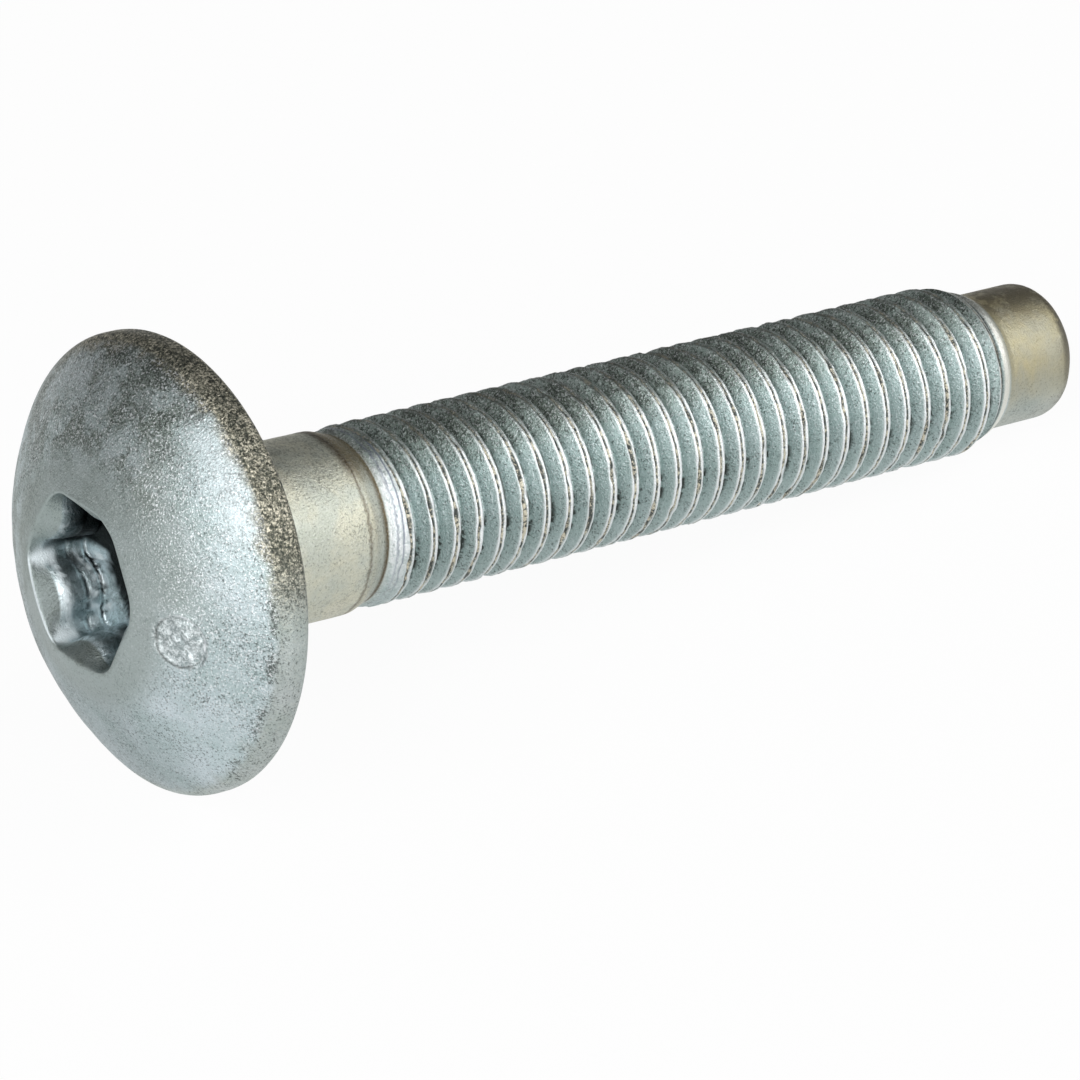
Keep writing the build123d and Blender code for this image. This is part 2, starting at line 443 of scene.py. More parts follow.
def build_head(surface):
    """Recess, dome and side: each column runs from the middle of the recess's floor, up the wall, over the
    land and the dome, and round the side to the bearing face. Gives back its last ring and the turns."""
    counts = head_columns()
    lobes = star(LOBES, counts)
    mouth = star(MOUTH, counts)

    # the mouth is drawn in a little at two of its points
    near_points = np.degrees(RECESS_TURN) + np.array([[0.0], [60.0]])
    mouth *= 1 - np.array([0.045, 0.035]) @ hill(np.degrees(np.angle(mouth)), near_points, 13)
    mouth_run = dome_run(MOUTH[1] / 2)
    lobes_run = mouth_run + LEAD_IN_DEPTH
    floor_run = mouth_run + RECESS_DEPTH

    foot = star_corner(lobes * 0.965, floor_run)
    brow = star_corner(lobes, lobes_run)
    lip = star_corner(mouth, dome_run(np.abs(mouth)))
    outside = star_corner(mouth * 1.2, dome_run(np.abs(mouth) * 1.2))
    middle = star_corner(lobes * 0.0, floor_run + FLOOR_DROP)

    foot_bend = bend(middle, foot, brow, 0.2, 7)
    brow_bend = bend(foot, brow, lip, 0.3, 7)
    lip_bend = bend(brow, lip, outside, 0.14, 5)
    floor = between(middle, foot_bend[0], 8)
    wall = between(foot_bend[-1], brow_bend[0], 15)
    land = between(brow_bend[-1], lip_bend[0], 7)

    # a fold round the wall, part way up, with the wall leaning in below it
    depth = wall[..., 0]
    turn = np.angle(mouth)
    fold_run = lobes_run + 1.15 + 0.1 * np.sin(2 * turn + 0.5) + 0.06 * np.sin(5 * turn)
    fold = 0.09 * hill(depth, fold_run, 0.13)
    lean = 0.16 * smooth(depth, fold_run, floor_run)
    wall[..., 1:] *= (1 + (fold - lean) / np.abs(lobes))[..., None]
    lip_reach = np.linalg.norm(lip_bend[-1][:, 1:], axis=-1)

    # the dome: rows at even steps of reach, from the lip out to where its round starts
    rim = corner_arc(
        (HEAD_RADIUS - 1.5, dome_run(HEAD_RADIUS - 1.5)),
        (HEAD_RADIUS, -EDGE_HEIGHT),
        (HEAD_RADIUS, 0),
        DOME_ROUND,
        9,
    )
    under = corner_arc((HEAD_RADIUS, -EDGE_HEIGHT), (HEAD_RADIUS, 0), (SHOULDER_RADIUS, 0), EDGE_ROUND, 6)
    stamp_band = np.linspace(STAMP_REACH - STAMP_BAND, STAMP_REACH + STAMP_BAND, 28)
    inner = lip_reach + (stamp_band[0] - lip_reach) * np.linspace(0, 1, 8)[1:, None]
    outer = np.concatenate([stamp_band[1:], np.linspace(stamp_band[-1], rim[0, 0], 12)[1:-1]])
    reach = np.concatenate([inner, np.broadcast_to(outer[:, None], (outer.size, turn.size))])

    # the stamp: a sunk disc with a broken floor and a raised rim, in its own flat x and y
    x = reach * np.cos(turn - STAMP_TURN) - STAMP_REACH
    y = reach * np.sin(turn - STAMP_TURN)
    from_stamp = np.hypot(x, y)
    rough = ripple(np.stack([x, y, 0 * x], -1) * MM, 0.7, 11)
    sunk = 1 - smooth(from_stamp, STAMP_RADIUS - 0.12, STAMP_RADIUS + 0.01)
    raised = hill(from_stamp, STAMP_RADIUS + 0.12, 0.12)
    run = dome_run(reach) + sunk * (STAMP_DEPTH + 0.055 * rough) - 0.04 * raised
    dome = place(run, reach, turn)
    uneven = 0.02 * ripple(dome, 5.0, 3) + 0.006 * ripple(dome, 1.4, 4)
    dome += along * (uneven * MM)[..., None]
    side_reach, side_run = np.concatenate([rim, under]).T[:, :, None]
    side = place(side_run, side_reach, turn)

    inside = np.concatenate([floor, foot_bend, wall, brow_bend])
    is_wall = np.where(np.arange(len(inside)) < len(floor), 0.6, 1.0)[:, None]
    shade, worn = recess_tone(inside, lobes_run, floor_run)
    upper = top_edge(turn)
    # the floor's middle point is black with painted shade
    centre = surface.add(to_frame(middle[:1]), recess=0.6, shade=1.0)
    recess = surface.add(to_frame(inside), recess=is_wall, shade=shade, worn=worn)
    shelf = to_frame(np.concatenate([land, lip_bend]))
    shelf = surface.add(shelf, **shelf_tone(turn, len(land), len(lip_bend)))
    dome = surface.add(dome, **dome_tone(dome, reach, turn, from_stamp))
    side = surface.add(side, edge=0.4 + 0.6 * upper, grime=0.2 + 0.7 * upper, mottle=0.5 * upper)

    surface.triangles(centre, np.roll(recess[0], -1), recess[0])
    surface.tube(recess, shelf, dome, side)
    return side[-1], turn


# ---------------------------------------------------------------- shank


def thread_phases():
    """Where the rows of one pitch lie, from the middle of a groove: close together on the crest, and twice
    at each end of a flank, which keeps the flank flat."""
    foot = np.array([ROOT_FLAT - 0.015, ROOT_FLAT + 0.015, 0.45])
    crest = np.linspace(-CREST_FLAT, CREST_FLAT, 11)
    return np.concatenate([[0.0], foot, PITCH / 2 + crest, PITCH - foot[::-1]])


def thread_reach(phase, run, points, sink):
    """Reach of the thread, and the shares of lip, seam, root, painted groove shadow and flank in it. `sink`
    is 1 underneath.

    The bare wire rises over a low swell to a first wide crest, and behind it the groove is cut in at once. A
    flank rises evenly from a flat root to the edge of the crest. The crest is two rolled lips with a rough
    seam between them that opens and closes round the turn. Past the last full crest a bevel takes everything
    down to the dog point, where a ring stands up behind the stop.
    """
    rise = smooth(run, WIRE_START, WIRE_START + 1.0)
    cut = smooth(run, WIRE_START + 1.05, WIRE_START + 1.5)
    from_groove = np.abs((phase + PITCH / 2) % PITCH - PITCH / 2)
    from_crest = PITCH / 2 - from_groove
    swell = 0.10 * hill(run, WIRE_START + 0.36, 0.17) - 0.07 * hill(run, WIRE_START + 0.81, 0.07)
    crest = WIRE_RADIUS + (CREST_RADIUS - 0.02 - WIRE_RADIUS) * rise + swell
    root = crest + (ROOT_RADIUS - crest) * cut

    # the flank, and the crest with its rounded edges, its seam and its nicks
    crest_edge = PITCH / 2 - CREST_FLAT
    share = np.clip((from_groove - ROOT_FLAT) / (crest_edge - ROOT_FLAT), 0, 1)
    flank = root + (crest - 0.1 * cut - root) * share
    broken = ripple(points, 1.3, 21)
    bare = smooth(ripple(points, 1.1, 27), -0.2, 1.0)
    opening = 0.06 + 0.07 * smooth(ripple(points, 2.6, 28), 0.2, 1.8)
    rounded = 0.1 * np.clip((from_crest - CREST_FLAT + 0.1) / 0.1, 0, 1) ** 2
    from_seam = np.abs(phase % PITCH - PITCH / 2 + 0.045)
    seam_depth = np.clip(0.085 + 0.05 * broken, 0.01, 0.17)
    seam = (1 - smooth(from_seam, opening - 0.05, opening + 0.03)) * seam_depth
    rough = 0.010 * ripple(points, 0.6, 22) + 0.006 * ripple(points, 0.3, 25)
    nick = 0.1 * smooth(ripple(points, 1.7, 23), 1.35, 2.1)
    on_crest = smooth(from_groove, crest_edge - 0.01, crest_edge + 0.03)
    top = crest - cut * rounded + rise * (rough - seam - nick)
    reach = flank + (top - flank) * (on_crest * cut + 1 - cut)

    # the bevel to the dog point, and the ring behind the stop
    past = CREST_RADIUS - DOG_RADIUS
    bevel = DOG_RADIUS + past * np.maximum((DOG_START - run) / (DOG_START - BEVEL_START), 0)
    stop = smooth(run, THREAD_STOP - 0.1, THREAD_STOP + 0.15)
    ridge = 0.12 * hill(run, THREAD_STOP + 0.33, 0.24) - 0.10 * hill(run, THREAD_STOP - 0.24, 0.10)
    eased = DOG_RADIUS + 0.5 * (bevel - DOG_RADIUS + np.hypot(bevel - DOG_RADIUS, 0.12)) - 0.06
    trimmed = np.minimum(reach, bevel)
    reach = trimmed + (np.maximum(eased, DOG_RADIUS) - trimmed) * stop + ridge

    there = (1 - stop) * (reach > root - 0.3 + 0.6 * cut) * rise
    lead = smooth(run, WIRE_START + 0.05, WIRE_START + 0.15) * (1 - cut)
    # the lips are bare zinc and partly a painted highlight, so they dim underneath
    lip = on_crest * there * (1 - 0.4 * smooth(sink, 0.0, 0.6))
    lip = np.maximum(lip, lead * (1 - 0.8 * smooth(sink, -0.2, 0.7)))
    threaded = cut * (1 - stop)
    # painted shadow in the groove, growing underneath
    rut = (phase % PITCH < ROOT_FLAT + 0.02) * threaded * smooth(sink, -0.55, 0.1)
    zones = {
        "crest": lip,
        "seam": (1 - smooth(from_seam, opening - 0.02, opening + 0.04)) * there,
        "root": (from_groove < ROOT_FLAT) * bare * threaded,
        "flank": np.maximum(cut, lead) * (1 - stop),
        "rut": rut,
    }
    return reach, zones


def over_the_top(turn):
    """How near a turn is to the top of the shank, a little towards the back."""
    return smooth(np.cos(turn + 0.45), 0.25, 0.9)


def build_shoulder(surface, ring, turns):
    """Bearing face, neck, shoulder and the cone to the wire, as level rings of (run, reach) from the head's
    last ring on, and gives back the numbers of the last one."""
    plain = {"straw": 0.5}
    end = {"straw": 0.5, "collar": 1.0}
    cone = {"straw": 0.3, "collar": 1.0}
    profile = [
        (0.0, HEAD_RADIUS - 2.5, {"edge": 0.6}),
        (0.0, SHOULDER_RADIUS + NECK_BEVEL + 1.5, {"edge": 0.6}),
        (0.0, SHOULDER_RADIUS + NECK_BEVEL, {"edge": 1.0}),
        (NECK_BEVEL, SHOULDER_RADIUS, {"straw": 0.5, "edge": 0.4}),
        *[(run, SHOULDER_RADIUS, plain) for run in np.linspace(1.0, SHOULDER_LENGTH - 0.9, 10)],
        (SHOULDER_LENGTH - 0.5, SHOULDER_RADIUS, end),
        (SHOULDER_LENGTH - 0.25, SHOULDER_RADIUS, end),
        (SHOULDER_LENGTH, SHOULDER_RADIUS - 0.015, end),
        (SHOULDER_LENGTH + 0.15, SHOULDER_RADIUS - 0.06, {"straw": 0.4, "collar": 1.0}),
        (SHOULDER_LENGTH + 0.6, WIRE_RADIUS + 0.14, cone),
        (WIRE_START - 0.1, WIRE_RADIUS + 0.02, cone),
        (WIRE_START, WIRE_RADIUS, cone),
    ]
    over = over_the_top(shank_turns)
    grime = 0.15 + 0.5 * smooth(np.cos(shank_turns + 0.3), 0.5, 1.0)
    grime += 0.3 * smooth(-np.cos(shank_turns), 0.3, 0.9)
    previous = None
    for run, reach, zones in profile:
        points = place(run, reach, shank_turns)
        if run > 0:
            points = place(run, reach + 0.012 * ripple(points, 3.0, 31), shank_turns)
        numbers = surface.add(points, grime=grime, over=over, lively=0.15, **zones)
        if previous is None:
            first, second = turns % (2 * np.pi), shank_turns % (2 * np.pi)
            order, near = np.argsort(first), np.argsort(second)
            surface.bridge(ring[order], first[order], numbers[near], second[near])
        else:
            surface.tube(previous, numbers)
        previous = numbers
    return previous


def build_thread(surface, previous):
    """Thread and bevel as one strip wound round the shank, whose rows follow the helix: a row's run is its
    own start plus one pitch for each whole turn. Gives back the level ring behind it, and its run."""
    phases = thread_phases()
    per_pitch = phases.size
    at_strip = GROOVE_RUN + PITCH * (STRIP_TURN - GROOVE_TURN) / (2 * np.pi)
    first_groove = at_strip + PITCH * np.floor((STRIP_START - at_strip) / PITCH)
    pitches = np.arange(int(BOLT_LENGTH / PITCH))
    starts = (first_groove + PITCH * pitches[:, None] + phases).ravel()
    starts = starts[(starts > STRIP_START) & (starts < DOG_START + 0.2)]
    climb = PITCH * shank_columns / SHANK_COLUMNS
    run = starts[:, None] + climb
    lead = np.linspace(WIRE_START, run[0], LEAD_ROWS + 2)[1:-1]
    run = np.concatenate([lead, run])
    turn = np.broadcast_to(shank_turns, run.shape)
    sink = -np.cos(turn)
    reach, zones = thread_reach(run - climb - first_groove, run, place(run, CREST_RADIUS, turn), sink)

    # the thread's tones, which pass into the dog point's behind the ring
    over = over_the_top(turn)
    zones["straw"] = 0.3 * (1 - smooth(run, WIRE_START, WIRE_START + 0.3))
    zones["lively"] = 0.5 - 0.35 * smooth(sink, -0.5, 0.3)
    zones["over"] = zones["mottle"] = over
    zones["grime"] = 0.15 + 0.8 * over
    past = smooth(run, THREAD_STOP + 0.6, THREAD_STOP + 0.9)
    for name, value in {"lively": 0.0, "over": 0.0, **dog_tone(turn)}.items():
        before = zones.get(name, 0.0)
        zones[name] = before + (value - before) * past

    # each row's last point joins the first point of the row one pitch further on
    grid = surface.add(place(run, reach, turn), **zones)
    lead, strip = grid[:LEAD_ROWS], grid[LEAD_ROWS:]
    surface.sheet(grid)
    surface.sheet(np.stack([strip[:-per_pitch, -1], strip[per_pitch:, 0]], -1))

    # its two ends meet level rings, and the step of one pitch is closed by one face with many corners
    surface.sheet(np.stack([previous, grid[0]]))
    surface.step(previous[[-1, 0]], lead[:, 0], strip[: per_pitch + 1, 0], strip[0, -1], lead[::-1, -1])
    end_run = run[-1].max() + 0.25
    level = surface.add(place(end_run, DOG_RADIUS, shank_turns), **dog_tone(shank_turns))
    surface.sheet(np.stack([strip[-1], level]))
    surface.step(strip[-per_pitch - 1, -1], strip[-1, 0], level[[0, -1]], strip[-per_pitch:, -1][::-1])
    return level, end_run


def dog_tone(turns):
    """Zone values of the dog point: straw yellow, brown over the top and greyer underneath, each by an eased
    step in the turn."""
    over = smooth(np.cos(turns + 0.4), 0.45, 0.95)
    straw = 0.3 + 0.7 * smooth(np.cos(turns - 0.4), -0.1, 0.7)
    dusk = 0.75 + 0.3 * smooth(np.cos(turns - 1.15), 0.75, 0.95)
    tones = {"stain": 0.85 * over, "grime": 0.1 + 0.5 * over, "mottle": 0.2 * over}
    return {"straw": straw, "dusk": dusk, **tones}


def build_dog(surface, level, end_run):
    """Dog point: a profile of (reach, run) carried round the axis, which is a plain cylinder, a round, and a
    flat end that closes in one point."""
    body = [(DOG_RADIUS, run) for run in np.linspace(end_run + 0.3, BOLT_LENGTH - DOG_ROUND - 0.1, 4)]
    tip = corner_arc((DOG_RADIUS, DOG_START), (DOG_RADIUS, BOLT_LENGTH), (0, BOLT_LENGTH), DOG_ROUND, 10)
    flat = [(reach, BOLT_LENGTH) for reach in (2.2, 1.2, 0.5)]
    reach, run = np.concatenate([body, tip, flat]).T[:, :, None]
    points = place(run, reach, shank_turns)
    points += along * (0.008 * ripple(points, 2.0, 41) * MM)[..., None]

    # the round is stained brown, and the flat end is plain
    zones = dog_tone(shank_turns)
    rim = smooth(run, BOLT_LENGTH - 1.3, BOLT_LENGTH - 0.75) * smooth(reach, 2.4, 3.2)
    stain = rim * (0.6 + 0.4 * smooth(np.cos(shank_turns), -0.2, 0.6))
    zones["stain"] = np.maximum(stain, zones["stain"])
    plain = {"straw": 0.45, "stain": 0.3, "grime": 0.3, "mottle": 0.3, "dusk": 0.85}
    at_end = 1 - smooth(reach, 2.2, 3.5)
    zones = {name: zone + (plain[name] - zone) * at_end for name, zone in zones.items()}
    rings = surface.add(points, **zones)
    centre = surface.add(place(np.array([BOLT_LENGTH]), 0.0, 0.0), **plain)
    surface.tube(level, rings)
    surface.triangles(rings[-1], np.roll(rings[-1], -1), centre)


def stand(name, data):
    """A new object in the scene, at the origin."""
    thing = bpy.data.objects.new(name, data)
    bpy.context.scene.collection.objects.link(thing)
    return thing


def build_bolt():
    """The whole bolt as one closed mesh, from the recess to the point, with its zone values."""
    surface = Surface()
    ring, turns = build_head(surface)
    wire = build_shoulder(surface, ring, turns)
    level, end_run = build_thread(surface, wire)
    build_dog(surface, level, end_run)
    mesh = bpy.data.meshes.new("bolt_surface")
    mesh.from_pydata(np.concatenate(surface.points).tolist(), [], surface.faces)
    mesh.update()
    mesh.validate()
    mesh.shade_smooth()
    for name in ZONES:
        values = np.concatenate(surface.zones[name]).astype(np.float32)
        attribute = mesh.attributes.new(name, "FLOAT", "POINT")
        attribute.data.foreach_set("value", values)
    return stand("bolt_surface", mesh)


# ---------------------------------------------------------------- finish


class Nodes:
    """Short forms for the nodes of one material or of the room."""

    def __init__(self, owner):
        """Starts the owner's tree empty."""
        owner.use_nodes = True
        self.tree = owner.node_tree
        self.tree.nodes.clear()

    def add(self, kind, **values):
        """A new node with some of its properties set."""
        node = self.tree.nodes.new(kind)
        for name, value in values.items():
            setattr(node, name, value)
        return node

    def link(self, source, target):
        """Carries an output to an input."""
        self.tree.links.new(source, target)

    def feed(self, socket, value):
        """Links an input to an output, or sets it to a plain value; a colour is three numbers."""
        if isinstance(value, bpy.types.NodeSocket):
            self.link(value, socket)
        elif socket.type == "RGBA":
            socket.default_value = (*value, 1.0)
        else:
            socket.default_value = value

    def math(self, operation, first, second=0.5):
        """One operation on two numbers, or on the first alone."""
        node = self.add("ShaderNodeMath", operation=operation)
        self.feed(node.inputs[0], first)
        self.feed(node.inputs[1], second)
        return node.outputs[0]

    def plus(self, first, second):
        """first + second"""
        return self.math("ADD", first, second)

    def less(self, first, second):
        """first - second"""
        return self.math("SUBTRACT", first, second)

    def times(self, product, *factors):
        """The product of all its values, taken from left to right."""
        for factor in factors:
            product = self.math("MULTIPLY", product, factor)
        return product

    def larger(self, first, second):
        """The larger of two values."""
        return self.math("MAXIMUM", first, second)

    def between(self, value, low, high, to_low=0.0, to_high=1.0):
        """Carries low..high evenly to to_low..to_high, and holds both ends."""
        node = self.add("ShaderNodeMapRange", clamp=True)
        for socket, number in zip(node.inputs, (value, low, high, to_low, to_high)):
            self.feed(socket, number)
        return node.outputs["Result"]

    def peak(self, value, middle, width):
        """1 where the value is the middle, falling evenly to 0 at a width to either side."""
        away = self.math("ABSOLUTE", self.less(value, middle))
        return self.between(away, 0.0, width, 1.0, 0.0)

    def vector(self, operation, first, second=(0.0, 0.0, 0.0)):
        """One operation on two vectors, or on the first alone, which gives a vector or a number."""
        node = self.add("ShaderNodeVectorMath", operation=operation)
        self.feed(node.inputs[0], first)
        self.feed(node.inputs[1], second)
        return node.outputs["Value" if operation in ("LENGTH", "DOT_PRODUCT") else "Vector"]

    def mix(self, share, first, second):
        """first * (1 - share) + second * share, in each of three colours."""
        node = self.add("ShaderNodeMix", data_type="RGBA")
        self.feed(node.inputs[0], share)
        self.feed(node.inputs[6], first)
        self.feed(node.inputs[7], second)
        return node.outputs[2]

    def shine(self, kind, colour):
        """A plain shader of one colour, at a strength of 1 where it gives light."""
        node = self.add(kind)
        self.feed(node.inputs["Color"], colour)
        return node

    def end(self, kind, shader):
        """Carries the last shader to the tree's output."""
        self.link(shader.outputs[0], self.add(kind).inputs["Surface"])


class Plating(Nodes):
    """The nodes of the zinc plating.

    Its noises and shared zone values are made once. Each group of tones is a method, which lays its tones
    over the colour so far, with shares worked out from zone values, noises and the run.
    """

    def __init__(self, material):
        """Makes the place, the run, and the noises and shares that several tones use."""
        super().__init__(material)
        self.place = self.add("ShaderNodeTexCoord").outputs["Object"]
        from_origin = self.vector("DOT_PRODUCT", self.place, tuple(along / MM))
        self.run = self.less(from_origin, float(bearing @ along) / MM)
        self.cloud = self.noise(3.0, detail=4.0, roughness=0.6, distortion=0.4)
        self.patch = self.noise(2.0, detail=4.0, roughness=0.6, distortion=0.3, lift=3.0)
        self.crumb = self.noise(0.45, detail=3.0, roughness=0.7, lift=5.0)
        self.grain = self.noise(0.11, roughness=0.8, lift=7.0)
        self.fleck = self.noise(0.11, roughness=0.7, lift=11.0)
        self.speck = self.noise(0.16, roughness=0.75, distortion=0.6, lift=17.0)
        self.loose = self.less(self.crumb, 0.5)
        self.drift = self.plus(self.run, self.times(self.loose, 0.5))
        self.over = self.zone("over")
        self.edge = self.zone("edge")
        self.lip = self.lips()

    def zone(self, name):
        """A zone value of the surface."""
        return self.add("ShaderNodeAttribute", attribute_name=name).outputs["Fac"]

    def noise(self, size, detail=2.0, roughness=0.5, distortion=0.0, lift=0.0):
        """Noise with features of about `size` millimetres, 0 to 1. `lift` tells noises of one size apart."""
        node = self.add("ShaderNodeTexNoise", noise_dimensions="4D")
        self.link(self.place, node.inputs["Vector"])
        node.inputs["W"].default_value = lift
        node.inputs["Scale"].default_value = 1 / (size * MM)
        node.inputs["Detail"].default_value = detail
        node.inputs["Roughness"].default_value = roughness
        node.inputs["Distortion"].default_value = distortion
        return node.outputs["Fac"]

    def coat(self, share, tone):
        """Lays a share of one tone over the colour so far."""
        self.colour = self.mix(share, self.colour, tone)

    def broad_tones(self):
        """Cool and pale clouds, greyer where calm or mottled, teal on the thread's flanks, straw yellow on
        the shoulder and the dog point, and brown where stained."""
        cool = (0.455, 0.56, 0.565)
        pale = (0.62, 0.705, 0.74)
        grey = (0.36, 0.41, 0.395)
        teal = (0.36, 0.455, 0.435)
        mossy = (0.32, 0.42, 0.35)
        umber = (0.185, 0.22, 0.18)
        pale_straw = (0.64, 0.58, 0.40)
        deep_straw = (0.72, 0.605, 0.31)
        brown = (0.165, 0.125, 0.06)
        flank = self.zone("flank")
        mottle = self.zone("mottle")
        blotch = self.between(self.plus(self.patch, self.times(self.loose, 0.4)), 0.42, 0.58)
        straw = self.mix(self.between(self.cloud, 0.42, 0.58), pale_straw, deep_straw)
        stained = self.times(self.zone("stain"), self.between(blotch, 0.0, 0.6, 0.35, 1.0))
        self.colour = self.mix(self.between(self.cloud, 0.35, 0.65), cool, pale)
        self.coat(self.times(self.zone("calm"), 0.8), grey)
        self.coat(self.times(flank, 0.75), teal)
        self.coat(self.times(flank, self.over, 0.6), mossy)
        self.coat(self.times(mottle, 0.5), grey)
        self.coat(self.times(mottle, blotch, 0.72), umber)
        self.coat(self.times(self.zone("straw"), 0.9), straw)
        self.coat(stained, brown)

    def head_edge(self):
        """The head's edge: olive, with coarse black and sandy specks."""
        olive = (0.32, 0.295, 0.21)
        sandy = (0.84, 0.79, 0.65)
        coarse = self.math("POWER", self.edge, 2.5)
        dark_speck = self.times(self.between(self.speck, 0.53, 0.59), self.times(coarse, 0.9))
        pale_speck = self.times(self.between(self.speck, 0.49, 0.41), self.times(coarse, 0.85))
        self.coat(self.times(self.edge, 0.85), olive)
        self.coat(dark_speck, BLACK)
        self.coat(pale_speck, sandy)

    def shoulder_end(self):
        """The shoulder's end: a brown line, darker and wider over the top, a dark foot to the first crest
        that is painted shade in the corner there, and tan between them."""
        scorched_and_shade = (0.10, 0.07, 0.035)
        tan = (0.27, 0.235, 0.15)
        collar = self.zone("collar")
        line = self.peak(self.drift, SHOULDER_LENGTH - 0.35, 0.2)
        line = self.times(line, self.between(self.fleck, 0.35, 0.5, 0.55, 1.0))
        line = self.times(line, self.between(self.over, 0.0, 0.4, 0.75, 1.0))
        wedge = self.peak(self.drift, SHOULDER_LENGTH - 0.3, 0.9)
        wedge = self.times(wedge, self.between(self.over, 0.1, 0.6))
        # painted shade: a dark foot where the cone meets the wire
        foot = self.between(self.run, WIRE_START - 0.45, WIRE_START - 0.1, 0.0, 0.95)
        line = self.larger(self.larger(line, foot), self.times(wedge, 0.9))
        tanned = self.between(self.run, SHOULDER_LENGTH - 0.3, SHOULDER_LENGTH)
        tanned = self.times(tanned, self.between(self.over, 0.1, 0.8, 0.25, 0.9))
        self.coat(self.times(collar, line), scorched_and_shade)
        self.coat(self.times(collar, tanned), tan)

    def soiling_and_shade(self):
        """Painted shade underneath, a dark grain that thickens with the grime, and a bright grain where
        lively.
        """
        slate = (0.17, 0.20, 0.20)
        light = (0.95, 0.98, 1.0)
        grime = self.zone("grime")
        soiled = self.plus(self.grain, self.times(grime, 0.14))
        soiled = self.plus(soiled, self.times(self.loose, self.times(grime, 0.5)))
        soiled = self.plus(soiled, self.times(self.less(self.patch, 0.5), 0.3))
        clean = self.larger(self.times(self.zone("calm"), 0.6), self.times(self.zone("straw"), 0.8))
        share = self.less(0.8, self.times(clean, 0.8))
        bright = self.times(self.between(self.fleck, 0.53, 0.63), self.zone("lively"))
        # painted shade in slate grey where dusky
        self.coat(self.times(self.zone("dusk"), 0.4), slate)
        self.coat(self.times(self.between(soiled, 0.55, 0.70), share), DARK)
        self.coat(bright, light)

    def lips(self):
        """Share of the crests' bright lips, bare zinc with a painted highlight: not the seam, little over
        the top, patchy on the first crest.
        """
        lip = self.times(self.zone("crest"), self.less(1.0, self.zone("seam")))
        # as a painted highlight, the lips fade over the top
        lip = self.times(lip, self.between(self.over, 0.1, 0.8, 0.95, 0.12))
        lip = self.times(lip, self.between(self.fleck, 0.3, 0.5, 0.65, 1.0))
        first = self.between(self.run, WIRE_START + 1.3, WIRE_START + 1.7, 1.0, 0.0)
        patchy = self.plus(self.crumb, self.times(self.less(self.grain, 0.5), 0.6))
        patchy = self.between(patchy, 0.38, 0.56, 0.35, 1.0)
        return self.times(lip, self.larger(patchy, self.less(1.0, first)))

    def thread(self):
        """Bright lips of bare zinc and painted highlight, blue streaks on the first crest, a torn seam of
        black and beige, a broken black painted shadow in the groove beside the crests lower down, and dark
        roots."""
        bare_zinc_highlight = (0.90, 0.93, 0.94)
        steel_blue = (0.24, 0.27, 0.33)
        beige = (0.66, 0.61, 0.48)
        streak = self.times(self.peak(self.run, WIRE_START + 0.82, 0.07), 1.4)
        streak = self.larger(self.peak(self.drift, WIRE_START + 0.48, 0.12), streak)
        streak = self.times(streak, self.zone("crest"), 0.75)
        torn = self.mix(self.between(self.plus(self.grain, self.loose), 0.46, 0.60), BLACK, beige)
        seam = self.times(self.zone("seam"), self.between(self.over, 0.2, 0.9, 0.9, 0.5))
        broken = self.plus(self.crumb, self.times(self.less(self.patch, 0.5), 0.8))
        broken = self.between(broken, 0.47, 0.56)
        broken = self.larger(broken, self.between(self.run, BEVEL_START - 0.6, BEVEL_START - 0.2))
        # painted shadow in the groove beside the crests, lower down
        rut = self.times(self.between(self.zone("rut"), 0.55, 0.85), broken)
        # bare zinc with a painted highlight on the lips
        self.coat(self.lip, bare_zinc_highlight)
        self.coat(streak, steel_blue)
        self.coat(seam, torn)
        self.coat(self.times(rut, 0.9), BLACK)
        self.coat(self.times(self.zone("root"), 0.8), DARK)

    def thread_end(self):
        """The thread's end: a bright ring, partly a painted highlight that dims over the top, behind a black
        line of painted shade in the dip before it.
        """
        cream_and_highlight = (0.90, 0.88, 0.80)
        from_ring = self.math("ABSOLUTE", self.less(self.run, THREAD_STOP + 0.28))
        ring = self.between(from_ring, 0.22, 0.42, 1.0, 0.0)
        ring = self.times(ring, self.between(self.over, 0.2, 0.9, 0.75, 0.3))
        # painted shade in the dip before the ring
        line = self.peak(self.drift, THREAD_STOP - 0.26, 0.2)
        line = self.times(line, self.between(self.crumb, 0.35, 0.5, 0.5, 1.0))
        self.coat(ring, cream_and_highlight)
        self.coat(line, BLACK)

    def recess(self):
        """Dark and bright smears on the walls and floor of the recess."""
        wet_slate = (0.14, 0.20, 0.215)
        ice = (0.80, 0.90, 0.95)
        smear = self.noise(0.7, roughness=0.6, distortion=1.5, lift=23.0)
        smear = self.mix(self.between(smear, 0.42, 0.58), wet_slate, ice)
        self.coat(self.times(self.zone("recess"), 0.42), smear)

